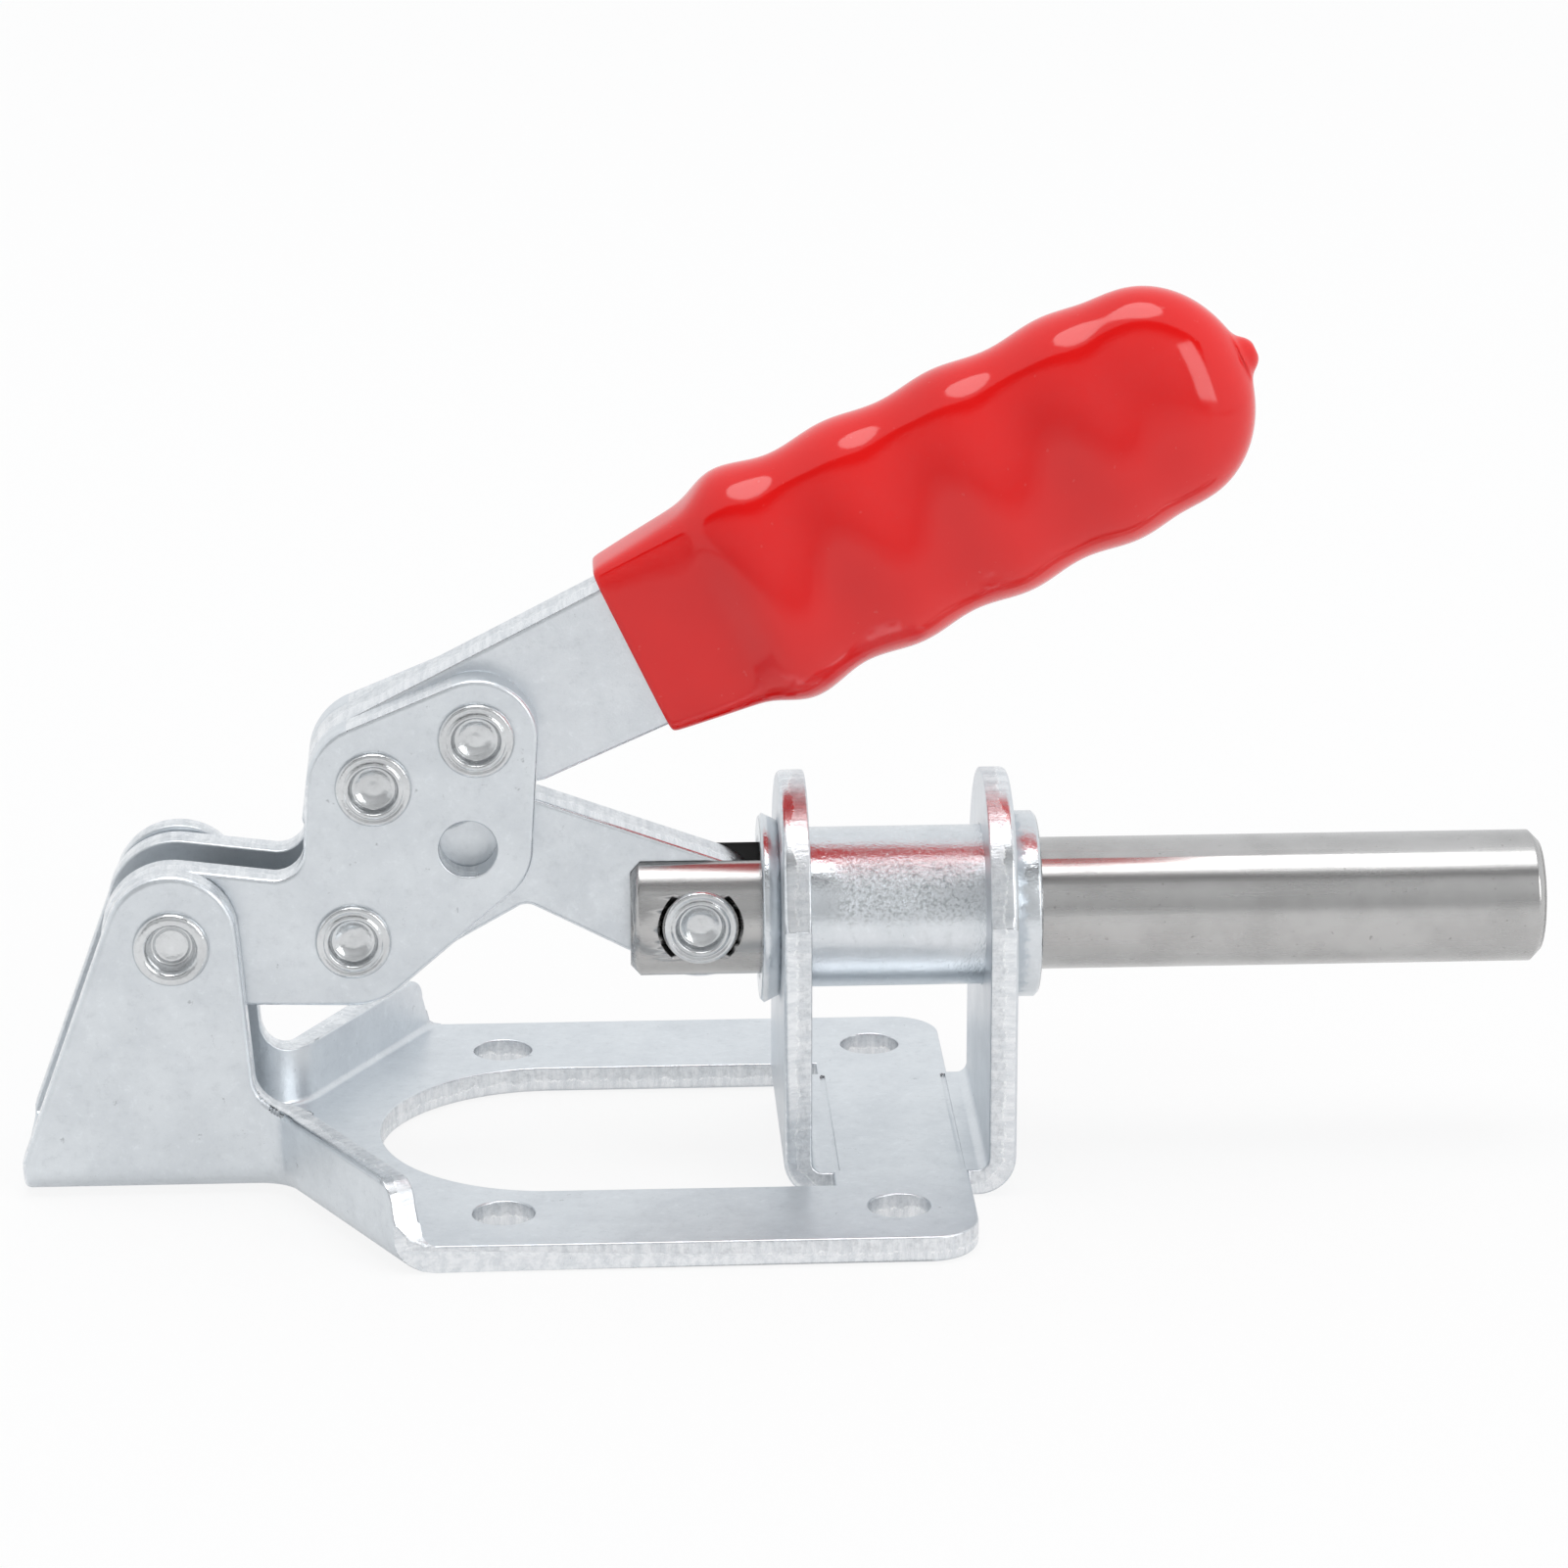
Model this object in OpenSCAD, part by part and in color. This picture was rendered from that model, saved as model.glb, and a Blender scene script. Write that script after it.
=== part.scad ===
/* [Base frame] */
// Thickness of the base's sheet steel
sheet_t = 2.5; // [2.2:0.1:2.8]
// Distance between bolt holes along the plunger
bolt_pitch_x = 35; // [33:0.5:38]
// Distance between bolt holes across the plunger
bolt_pitch_y = 41.3; // [40.5:0.1:45]
// Diameter of the bolt holes
bolt_hole_d = 5.5; // [4.5:0.1:6]
// From a front bolt hole's centre to the flange's front edge
bolt_margin_x = 6.8; // [6:0.1:8]
// From a bolt hole's centre to the flange's long edge
bolt_margin_y = 7.5; // [6:0.05:9]
// Radius of the flange's front corners
front_corner_r = 4.5; // [2:0.5:6]
// From the middle of the bolt pattern to the window's round end
window_reach = 28.7; // [27:0.1:29.5]
// Height of the upturned ribs
rib_h = 8; // [6:0.5:10]
// Inside radius where the ribs and rear ears turn up from the floor
rib_bend_ri = 0.6; // [0.4:0.1:1.5]
// Radius, seen from above, of the corner between an ear and its rib
rib_corner_r = 3; // [2:0.5:4]
// Radius of the rounded top corner at a rib's free end
rib_end_r = 2.2; // [1:0.2:3]
// From the middle of the bolt pattern back to the ribs' ends
rib_end_back = 27.25; // [26.5:0.05:28]
// How far a rib's end stays inside the flange's long edge
rib_end_in = 0.4; // [0.2:0.1:1]

/* [Rear ears] */
// From the middle of the bolt pattern back to the rear pivot
pivot_back = 46.7; // [45:0.1:50]
// Radius of the ears' round top
ear_top_r = 5.9; // [5.4:0.1:6.5]
// Height of the round top's centre above the pivot
ear_top_rise = 0.8; // [0:0.1:1.5]
// From the pivot back to the rear edge of the floor
ear_foot_back = 14; // [12:0.5:16]
// Height at which the ears' rear edge starts to slope
ear_foot_h = 3.2; // [2.8:0.1:5]
// From the pivot forward to where the wall turns out into the rib
ear_front = 7; // [6.5:0.1:8]
// Fillet between an ear's front edge and the rib's top
ear_fillet_r = 3; // [2:0.5:4]
// Side clearance between an ear and the handle's side plate
ear_side_gap = 0.4; // [0.3:0.05:0.8]

/* [Guide ears and sleeve] */
// Height of the plunger's axis above the base
axis_h = 23.5; // [22:0.1:26]
// Width of the guide ears' straight sides
guide_w = 25.4; // [23.5:0.1:26.5]
// Radius of the guide ears' round top
guide_top_r = 12.5; // [11.5:0.1:13]
// Height of the straight sides above the plunger's axis
guide_shoulder_rise = 1.9; // [0.5:0.1:3]
// Distance over the outer faces of the two guide ears
guide_span = 20.95; // [19:0.05:23]
// How far the front guide ear stands ahead of the flange's front edge
guide_overhang = 4.35; // [4:0.05:6]
// Inside bend radius at the foot of a guide ear
guide_bend_ri = 1; // [0.6:0.1:1.4]
// Gap between a guide ear's side and the window's side
ear_relief = 2.8; // [2:0.1:3.2]
// Width of the bend relief cut into the floor beside the rear guide ear
relief_depth = 0.9; // [0.5:0.1:1.5]
// From the fold of a guide ear to the coined line across its foot
coin_gap = 1.05; // [0.95:0.05:1.4]
// Width of the coined lines
coin_w = 0.5; // [0.3:0.1:0.8]
// Depth of the coined lines
coin_d = 0.2; // [0.1:0.05:0.3]
// Wall of the guide sleeve
sleeve_wall = 1.22; // [1:0.02:1.6]
// Length of the sleeve's collar ahead of the front ear
collar_len = 2.55; // [2:0.05:3.5]
// Step of the collar above the sleeve
collar_step = 1.2; // [0.8:0.05:1.6]
// Length of the sleeve's flared rim behind the rear ear
flare_len = 1.7; // [1.4:0.05:1.85]
// Step of the flared rim above the sleeve
flare_step = 1.35; // [1:0.05:1.6]

/* [Plunger] */
// Diameter of the plunger
plunger_d = 12; // [11:0.1:12.6]
// From the plunger's pin to its front end
plunger_ahead = 76.7; // [70:0.1:82]
// From the plunger's pin to its rear end
plunger_behind = 6.25; // [5.5:0.05:7]
// Chamfer at both ends of the plunger
plunger_chamfer = 0.9; // [0.5:0.1:1.3]
// Tapping diameter of the hole in the front end
tap_d = 6.8; // [5:0.1:8.5]
// Depth of the tapped hole
tap_depth = 20; // [14:1:26]
// Diameter of the flat spot under each head of the plunger's rivet
spot_d = 7.8; // [7.4:0.1:8.6]
// Depth of the flat spot below the plunger's skin
spot_depth = 0.9; // [0.6:0.05:1.1]
// From the link's eye to the closed end of the plunger's slot
slot_end_gap = 5; // [4.8:0.1:6]

/* [Toggle linkage] */
// Distance from the rear pivot to the link's pivot, half the stroke
crank_r = 16.1; // [15.6:0.05:16.4]
// Angle by which the link's pivot lies below dead centre
over_centre = 2.13; // [1:0.01:3]
// Distance between the link's two pivots
link_len = 31.16; // [31:0.02:31.6]
// Thickness of the link
link_t = 5; // [4.5:0.1:5.2]
// Radius of the link's two eyes
link_end_r = 5.75; // [5.2:0.05:5.8]
// Height of the link's top above the line between its pivots
link_rise = 11.85; // [11:0.05:12]
// Radius of the link's rounded top
link_top_r = 4; // [3:0.5:5]
// Height of the notch above the line between the link's pivots
link_notch_h = 1.95; // [1.8:0.05:2.6]
// Radius of the fillet in the link's notch
link_notch_r = 1.6; // [1:0.1:2.2]

/* [Handle] */
// Thickness of each side plate
plate_t = 3.2; // [3:0.1:3.5]
// Radius of the side plate round the rear pivot
lobe_rear_r = 6.4; // [6:0.1:6.6]
// Radius of the side plate round the link's pivot
lobe_link_r = 6.2; // [5.8:0.1:6.5]
// Radius of the side plate round the spare hole
lobe_hole_r = 5.8; // [5:0.1:6.2]
// Radius of the side plate round the lower bar rivet
lobe_low_r = 6; // [5.5:0.1:6.5]
// Radius of the side plate round the upper bar rivet
lobe_high_r = 5.5; // [5:0.1:6]
// Radius of the concave corner above the neck
neck_fillet_r = 2.6; // [2:0.1:3.2]
// Where that corner's centre lies, ahead of and above the rear pivot
neck_fillet_at = [9.2, 7.9];
// Where the lower bar rivet lies, ahead of and above the rear pivot
low_rivet_at = [18.2, 13.7];
// Distance between the two bar rivets
bar_rivet_pitch = 10.2; // [9.5:0.1:11]
// Slope of the handle bar
bar_angle = 25.5; // [22:0.5:28]
// Where the spare hole lies, ahead of and above the rear pivot
spare_hole_at = [26.5, 7.9];
// Diameter of the spare hole
spare_hole_d = 5.2; // [4.5:0.1:5.8]
// Height of the handle bar at the upper rivet
bar_h = 14; // [12.6:0.1:14]
// How much the bar widens over its whole length
bar_flare = 2.8; // [0:0.1:4]
// Length of the bar beyond the upper rivet
bar_len = 66; // [58:0.5:67]
// Height of the bar's rear corner above the rear pivot
bar_heel_rise = 8.6; // [8.2:0.1:9.2]

/* [Grip] */
// From the upper bar rivet to the grip's mouth
grip_start = 15.6; // [14:0.1:18]
// Length of the grip without the drip at its tip
grip_len = 60.2; // [56:0.1:66]
// Wall of the grip round the bar at its mouth
grip_mouth_wall = 1.3; // [1:0.05:1.8]
// Height of the grip in the valleys between its waves
grip_h = 20.7; // [19.8:0.1:22]
// Width of the grip in the valleys between its waves
grip_w = 16.4; // [14:0.1:18]
// How far the grip's middle lies above the bar's
grip_rise = 0.2; // [0:0.05:0.4]
// Height of the waves
wave_h = 0.57; // [0.3:0.01:1]
// Distance from wave to wave
wave_pitch = 10.6; // [9:0.1:11]
// Number of waves
wave_count = 4; // [3:1:4]
// Extra height of the first wave, towards the thumb
wave_first_extra = 0.4; // [0:0.05:0.8]
// Length of the slim neck behind the first wave
grip_neck_len = 8; // [6:0.1:9]
// Length over which the neck swells into the body
grip_swell_len = 5; // [3:0.1:7]
// Length of the domed end
grip_dome_len = 8.75; // [7:0.05:10]
// Length of the drip at the tip
drip_len = 1.25; // [0.8:0.05:1.8]
// Radius of the drip at the tip
drip_r = 1.7; // [1.2:0.1:2.2]

/* [Rivets] */
// Diameter of the rivets' shanks
rivet_d = 5; // [4.6:0.1:5.1]
// Outside diameter of the rolled ring on a rivet's near end
ring_d = 6.9; // [6.6:0.1:7.2]
// Radius of the rolled ring's crest
ring_crest_r = 0.65; // [0.4:0.05:0.65]
// Inside diameter of the rolled ring
ring_hole_d = 4.1; // [3.6:0.1:4.3]
// Height of the rolled ring above its seat
ring_h = 0.8; // [0.7:0.05:0.9]
// Depth of the hollow inside the rolled ring, below its seat
hollow_depth = 0.35; // [0.1:0.05:0.8]
// Depth of the hollow in the rear pivot's rivet
pivot_hollow_depth = 1; // [0.6:0.1:1.4]
// Diameter of the set heads on the rivets' far ends
head_d = 7.4; // [7:0.1:7.8]
// Height of the set heads
head_h = 0.9; // [0.7:0.05:1.1]

/* [Fits] */
// Radial running clearance of the plunger in its sleeve
slide_fit = 0.05; // [0.02:0.01:0.09]
// Radial running clearance of a rivet in a part that turns on it
turn_fit = 0.05; // [0.02:0.01:0.09]
// Radial clearance where a rivet or the sleeve is pressed tight
tight_fit = 0.02; // [0.01:0.01:0.04]
// Side clearance of the link between the plates and in the slot
link_side_gap = 0.1; // [0.05:0.01:0.15]
// Clearance between the bar and the inside of the grip
grip_fit = 0.05; // [0.02:0.01:0.1]

/* [Hidden] */
$fn = 72;
arc_step = 5;
eps = 0.01;
bend_steps = 9;
corner_steps = 10;
fade_steps = 4;
// How far the foot of a bend runs on into the floor
lap = 0.4;

// Places along the plunger's axis, from the middle of the bolt pattern
flange_x = bolt_pitch_x / 2 + bolt_margin_x;
flange_y = bolt_pitch_y / 2 + bolt_margin_y;
guide_front_x = flange_x + guide_overhang;
guide_rear_x = guide_front_x - guide_span;
rear_pivot = [-pivot_back, axis_h];
link_pivot = rear_pivot + crank_r * [cos(-over_centre), sin(-over_centre)];
link_drop = axis_h - link_pivot[1];
link_tilt = asin(link_drop / link_len);
pin_x = link_pivot[0] + link_len * cos(link_tilt);
plunger_pin = [pin_x, axis_h];

// The stack across the handle, measured from the middle plane
link_y = link_t / 2;
plate_in_y = link_y + link_side_gap;
plate_out_y = plate_in_y + plate_t;
ear_in_y = plate_out_y + ear_side_gap;
ear_out_y = ear_in_y + sheet_t;

// Bends: an outer radius is the inner one and the sheet
rib_bend_ro = rib_bend_ri + sheet_t;
guide_bend_ro = guide_bend_ri + sheet_t;

// Each rib runs from the ear's corner to the flange's rear corner
rib_centre = [rear_pivot[0] + ear_front, ear_out_y + rib_corner_r];
rib_end = [-rib_end_back, flange_y - rib_end_in];
rib_span = norm(rib_end - rib_centre);
rib_bearing = atan2(rib_end[1] - rib_centre[1], rib_end[0] - rib_centre[0]);
rib_angle = rib_bearing + asin(rib_corner_r / rib_span);
rib_len = sqrt(rib_span * rib_span - rib_corner_r * rib_corner_r);
// Length of sheet in a bend, and beyond the fold line in a wall of height h
function bend_len(ri) = PI / 2 * (ri + sheet_t / 2);
function wall_reach(ri, h) = bend_len(ri) + h - ri - sheet_t;

window_r = guide_w / 2 + ear_relief;
sleeve_ri = plunger_d / 2 + slide_fit;
sleeve_ro = sleeve_ri + sleeve_wall;

// Handle: rivet places in the side view
low_rivet = rear_pivot + low_rivet_at;
high_rivet = low_rivet + bar_rivet_pitch * [cos(bar_angle), sin(bar_angle)];
spare_hole = rear_pivot + spare_hole_at;
neck_fillet = rear_pivot + neck_fillet_at;

// One closed outline wrapped round circles [x, y, r], taken anticlockwise.
// A positive radius is a round corner, a negative one a fillet, zero a sharp point.
function turn(a) = a - 360 * floor(a / 360);
function belt_normal(a, b) =
    let (d = [b[0] - a[0], b[1] - a[1]])
    atan2(d[1], d[0]) + acos((b[2] - a[2]) / norm(d));
function belt(rounds) =
    let (n = len(rounds))
    [for (i = [0 : n - 1])
        let (here = rounds[i],
            a0 = belt_normal(rounds[(i + n - 1) % n], here),
            a1 = belt_normal(here, rounds[(i + 1) % n]),
            sweep = here[2] >= 0 ? turn(a1 - a0) : -turn(a0 - a1),
            steps = here[2] == 0 ? 0 : max(1, ceil(abs(sweep) / arc_step)))
        for (k = [0 : steps])
            let (a = steps == 0 ? a0 : a0 + sweep * k / steps)
            [here[0] - here[2] * cos(a), here[1] - here[2] * sin(a)]];

// Lays an outline drawn in the side view upright, centred on the middle plane
module side_view(thickness) {
    rotate([90, 0, 0]) linear_extrude(thickness, center = true) children();
}

// A cylinder across the handle at a place in the side view
module cross_pin(at, r, y0, y1) {
    translate([at[0], y1, at[1]]) rotate([90, 0, 0]) cylinder(r = r, h = y1 - y0);
}

function reverse(list) = [for (k = [len(list) - 1 : -1 : 0]) list[k]];

// Section of sheet that turns up from the floor: it reaches past the fold line, its foot runs inwards
function bend_outline(ri, reach, foot) =
    let (ro = ri + sheet_t,
        a = min(90, 90 * reach / bend_len(ri)),
        up = max(reach - bend_len(ri), eps) * [-cos(a), sin(a)],
        turns = [for (k = [0 : bend_steps]) a * k / bend_steps],
        inner = [for (b = turns) [ro - ri * sin(b), ro - ri * cos(b)]],
        outer = [for (b = turns) [ro - ro * sin(b), ro - ro * cos(b)]])
    concat([inner[bend_steps] + up], reverse(inner), [[ro + foot, sheet_t], [ro + foot, 0]],
        outer, [outer[bend_steps] + up]);

// A closed skin over rings of points, with a flat face at each end
module skin(rings) {
    n = len(rings[0]);
    m = len(rings);
    sides = [for (i = [0 : m - 2], k = [0 : n - 1])
        let (l = (k + 1) % n) [i * n + k, (i + 1) * n + k, (i + 1) * n + l, i * n + l]];
    ends = [[for (k = [0 : n - 1]) k], [for (k = [0 : n - 1]) m * n - 1 - k]];
    polyhedron([for (ring = rings, p = ring) p], concat(sides, ends));
}

module ear_outline() {
    top = [rear_pivot[0], axis_h + ear_top_rise, ear_top_r];
    foot_x = rear_pivot[0] - ear_foot_back;
    fillet = [rib_centre[0] + ear_fillet_r, rib_h + ear_fillet_r, -ear_fillet_r];
    polygon(belt([[foot_x, -1, 0], [0, -1, 0], [0, rib_h + 1, 0], fillet, top, [foot_x, ear_foot_h, 0]]));
}

// The bent wall's section at a bearing round the rib's corner, then a run along that bearing
function wall_ring(bearing, run, reach) =
    [for (q = bend_outline(rib_bend_ri, reach, lap))
        let (p = wall_point(q[0], bearing, run)) [p[0], p[1], q[1]]];
function wall_point(inwards, bearing, run) =
    rib_centre + (rib_corner_r + inwards) * [sin(bearing), -cos(bearing)]
        + run * [cos(bearing), sin(bearing)];
// Run at which a line parallel to the rib meets the flange's long edge
function edge_run(inwards) = (flange_y - wall_point(inwards, rib_angle, 0)[1]) / sin(rib_angle);

// One rear ear with its rib, on the far side
module ear_and_rib() {
    ear_reach = wall_reach(rib_bend_ri, axis_h + ear_top_rise + ear_top_r + 1);
    rib_reach = wall_reach(rib_bend_ri, rib_h);
    end_reach = rib_reach - rib_end_r;
    stop_run = edge_run(rib_bend_ro);
    stop_reach = 0.1;
    intersection() {
        skin(concat([wall_ring(0, -ear_foot_back - ear_front - 1, ear_reach)],
            [for (k = [0 : corner_steps]) wall_ring(rib_angle * k / corner_steps, 0, ear_reach)],
            [wall_ring(rib_angle, 1, rib_reach)],
            [for (a = [0 : 15 : 90])
                wall_ring(rib_angle, rib_len - rib_end_r * (1 - sin(a)), end_reach + rib_end_r * cos(a))],
            [for (k = [1 : fade_steps])
                wall_ring(rib_angle, rib_len + (stop_run - rib_len) * k / fade_steps,
                    end_reach + (stop_reach - end_reach) * k / fade_steps)],
            [wall_ring(rib_angle, stop_run + 1, stop_reach)]));
        side_view(2 * flange_y) ear_outline();
    }
}

module floor_outline() {
    inwards = rib_bend_ro + lap / 2;
    bend_r = rib_corner_r + inwards;
    corner = wall_point(inwards, rib_angle, edge_run(inwards));
    front = [flange_x - front_corner_r, flange_y - front_corner_r];
    tail = [rear_pivot[0] - ear_foot_back, rib_centre[1] - bend_r];
    polygon(belt([[front[0], -front[1], front_corner_r], [front[0], front[1], front_corner_r],
        [corner[0], corner[1], 0], [rib_centre[0], rib_centre[1], -bend_r], [tail[0], tail[1], 0],
        [tail[0], -tail[1], 0], [rib_centre[0], -rib_centre[1], -bend_r], [corner[0], -corner[1], 0]]));
}

// The window, its bend reliefs and the tongue that became the rear guide ear
module window_outline() {
    round_x = -window_reach + window_r;
    bend_x = guide_rear_x + guide_bend_ro;
    translate([round_x, 0]) circle(window_r);
    translate([round_x, -window_r]) square([bend_x + lap / 2 - round_x, 2 * window_r]);
    for (side = [-1, 1]) translate([bend_x - 1, side * (guide_w / 2 + ear_relief / 2) - ear_relief / 2])
        square([1 + relief_depth, ear_relief]);
}

module guide_ears() {
    reach = wall_reach(guide_bend_ri, axis_h + guide_top_r + 1);
    intersection() {
        side_view(guide_w) {
            translate([guide_rear_x, 0]) polygon(bend_outline(guide_bend_ri, reach, lap));
            translate([guide_front_x, 0]) mirror([1, 0])
                polygon(bend_outline(guide_bend_ri, reach, guide_overhang - guide_bend_ro + lap));
        }
        translate([guide_rear_x - 1, 0, 0]) rotate([90, 0, 90]) linear_extrude(guide_span + 2) {
            translate([-guide_w / 2, 0]) square([guide_w, axis_h + guide_shoulder_rise]);
            translate([0, axis_h]) circle(guide_top_r);
        }
    }
}

module base_frame() {
    color("gainsboro") difference() {
        union() {
            linear_extrude(sheet_t) difference() {
                floor_outline();
                window_outline();
            }
            ear_and_rib();
            mirror([0, 1, 0]) ear_and_rib();
            guide_ears();
        }
        for (x = [-1, 1], y = [-1, 1])
            translate([x * bolt_pitch_x / 2, y * bolt_pitch_y / 2, -1])
                cylinder(d = bolt_hole_d, h = sheet_t + 2);
        coin_at = guide_bend_ro + coin_gap;
        coin_len = guide_w - 2 * coin_w;
        for (x = [guide_rear_x + coin_at, guide_front_x - coin_at - coin_w])
            translate([x, -coin_len / 2, sheet_t - coin_d]) cube([coin_w, coin_len, 1]);
        translate([guide_rear_x - 1, 0, axis_h]) rotate([0, 90, 0])
            cylinder(r = sleeve_ro + tight_fit, h = guide_span + 2);
        cross_pin(rear_pivot, rivet_d / 2 + tight_fit, -ear_out_y - 1, ear_out_y + 1);
    }
}

// The sleeve's half section, turned about the plunger's axis
module guide_sleeve() {
    rear = guide_rear_x - flare_len;
    front = guide_front_x + collar_len;
    rim_r = sleeve_ro + flare_step;
    collar_r = sleeve_ro + collar_step;
    edge = 0.35;
    mouth = 0.6;
    color("silver") translate([0, 0, axis_h]) rotate([90, 0, 90]) rotate_extrude()
        polygon([[sleeve_ri, rear + mouth], [sleeve_ri + mouth, rear], [rim_r - edge, rear],
            [rim_r, rear + edge], [sleeve_ro + flare_step / 2, guide_rear_x], [sleeve_ro, guide_rear_x],
            [sleeve_ro, guide_front_x], [collar_r, guide_front_x], [collar_r, front - edge],
            [collar_r - edge, front], [sleeve_ri + edge, front], [sleeve_ri, front - edge]]);
}

module plunger() {
    r = plunger_d / 2;
    rear = pin_x - plunger_behind;
    front = pin_x + plunger_ahead;
    slot_end = pin_x + link_end_r + slot_end_gap;
    tip_len = tap_d / 2 / tan(59);
    color("gray") difference() {
        translate([0, 0, axis_h]) rotate([90, 0, 90]) rotate_extrude()
            polygon([[0, rear], [r - plunger_chamfer, rear], [r, rear + plunger_chamfer],
                [r, front - plunger_chamfer], [r - plunger_chamfer, front], [0, front]]);
        translate([rear - 1, -plate_in_y, axis_h - plunger_d])
            cube([slot_end - rear + 1, 2 * plate_in_y, 2 * plunger_d]);
        translate([front - tap_depth, 0, axis_h]) rotate([0, 90, 0]) cylinder(d = tap_d, h = tap_depth + 1);
        translate([front - tap_depth - tip_len, 0, axis_h]) rotate([0, 90, 0])
            cylinder(d1 = 0, d2 = tap_d, h = tip_len + eps);
        cross_pin(plunger_pin, rivet_d / 2 + tight_fit, -r - 1, r + 1);
        cross_pin(plunger_pin, spot_d / 2, -r - 1, -r + spot_depth);
        cross_pin(plunger_pin, spot_d / 2, r - spot_depth, r + 1);
    }
}

module link_outline() {
    // A line at this slope touches the eye and meets its mirror image at the notch
    mid = link_len / 2;
    notch_d = norm([mid, link_notch_h]);
    notch_slope = atan2(link_notch_h, mid) + asin(link_end_r / notch_d);
    notch_drop = link_notch_r / cos(notch_slope);
    polygon(belt([[0, 0, link_end_r], [mid, link_notch_h - notch_drop, -link_notch_r],
        [link_len, 0, link_end_r], [mid, link_rise - link_top_r, link_top_r]]));
}

module link() {
    color("lightgray") difference() {
        translate([link_pivot[0], 0, link_pivot[1]]) rotate([0, -link_tilt, 0])
            side_view(link_t) link_outline();
        cross_pin(link_pivot, rivet_d / 2 + turn_fit, -link_t, link_t);
        cross_pin(plunger_pin, rivet_d / 2 + turn_fit, -link_t, link_t);
    }
}

module side_plate(y0) {
    rounds = [concat(rear_pivot, lobe_rear_r), concat(link_pivot, lobe_link_r),
        concat(spare_hole, lobe_hole_r), concat(high_rivet, lobe_high_r),
        concat(low_rivet, lobe_low_r), concat(neck_fillet, -neck_fillet_r)];
    color("gainsboro") difference() {
        translate([0, y0 + plate_t / 2, 0]) side_view(plate_t) polygon(belt(rounds));
        cross_pin(rear_pivot, rivet_d / 2 + turn_fit, y0 - 1, y0 + plate_t + 1);
        for (at = [link_pivot, low_rivet, high_rivet])
            cross_pin(at, rivet_d / 2 + tight_fit, y0 - 1, y0 + plate_t + 1);
        cross_pin(spare_hole, spare_hole_d / 2, y0 - 1, y0 + plate_t + 1);
    }
}

module side_plate_near() {
    side_plate(-plate_out_y);
}

module side_plate_far() {
    side_plate(plate_in_y);
}

// The bar's outline in its own frame: origin at the upper rivet, +X along the bar
module bar_outline(grow) {
    heel = [low_rivet[0] - lobe_low_r, rear_pivot[1] + bar_heel_rise] - high_rivet;
    heel_x = heel[0] * cos(bar_angle) + heel[1] * sin(bar_angle);
    heel_y = heel[1] * cos(bar_angle) - heel[0] * sin(bar_angle);
    half_start = bar_h / 2;
    half_end = half_start + bar_flare / 2;
    end_r = 5;
    corner_r = 1;
    belt_end = bar_len - end_r + grow;
    polygon(belt([[heel_x + corner_r, heel_y + corner_r, corner_r + grow],
        [half_start / 2, -half_start + corner_r, corner_r + grow],
        [belt_end, -half_end + end_r, end_r + grow], [belt_end, half_end - end_r, end_r + grow],
        [-bar_rivet_pitch, 0, lobe_low_r + grow]]));
}

module bar_solid(grow) {
    translate([high_rivet[0], 0, high_rivet[1]]) rotate([0, -bar_angle, 0])
        side_view(2 * (plate_in_y + grow)) bar_outline(grow);
}

module handle_bar() {
    color("gainsboro") difference() {
        bar_solid(0);
        for (at = [low_rivet, high_rivet])
            cross_pin(at, rivet_d / 2 + tight_fit, -plate_out_y, plate_out_y);
    }
}

// Grip: half height and half width at a distance u from its mouth
function ease(t) = t <= 0 ? 0 : t >= 1 ? 1 : t * t * (3 - 2 * t);
function wave(v) = v < 0 || v > wave_count ? 0 :
    (1 - cos(360 * v)) / 2 * (wave_h + (v < 1 ? wave_first_extra : 0));
function swell(u) = wave((u - grip_neck_len) / wave_pitch);
function dome(u) =
    let (v = (u - grip_len + grip_dome_len) / grip_dome_len) v <= 0 ? 1 : sqrt(max(0, 1 - v * v));
function neck(u) = (min(1, u / grip_neck_len) + ease((u - grip_neck_len) / grip_swell_len)) / 2;
mouth_half_h = bar_h / 2 + bar_flare / 2 * grip_start / bar_len + grip_mouth_wall;
mouth_half_w = plate_in_y + grip_mouth_wall;
function grip_half_h(u) = mouth_half_h + (grip_h / 2 + swell(u) - mouth_half_h) * neck(u);
function grip_half_w(u) = mouth_half_w + (grip_w / 2 + swell(u) - mouth_half_w) * neck(u);
// A squarish section at the mouth, an oval one beyond the neck
function grip_power(u) = 5.5 - 3.3 * neck(u);
function signed_pow(v, p) = sign(v) * pow(abs(v), p);
function grip_ring(u) =
    let (p = 2 / grip_power(u), h = grip_half_h(u) * dome(u), w = grip_half_w(u) * dome(u))
    [for (k = [0 : grip_sides - 1])
        let (a = 360 * k / grip_sides)
        [u, w * signed_pow(cos(a), p), grip_rise + h * signed_pow(sin(a), p)]];
grip_sides = 32;
grip_steps = 36;
dome_steps = 9;
dome_start = grip_len - grip_dome_len;
grip_stations = concat([for (i = [0 : grip_steps - 1]) dome_start * i / grip_steps],
    [for (i = [0 : dome_steps - 1]) dome_start + grip_dome_len * sin(88 * i / (dome_steps - 1))]);

module handle_grip() {
    color("red") difference() {
        translate([high_rivet[0], 0, high_rivet[1]]) rotate([0, -bar_angle, 0])
            translate([grip_start, 0, 0]) {
                skin([for (u = grip_stations) grip_ring(u)]);
                translate([grip_len - 2 * drip_r, 0, grip_rise]) rotate([0, 90, 0])
                    cylinder(r1 = 1.6 * drip_r, r2 = 0.6 * drip_r, h = 2 * drip_r + drip_len, $fn = 20);
            }
        bar_solid(grip_fit);
    }
}

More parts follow.
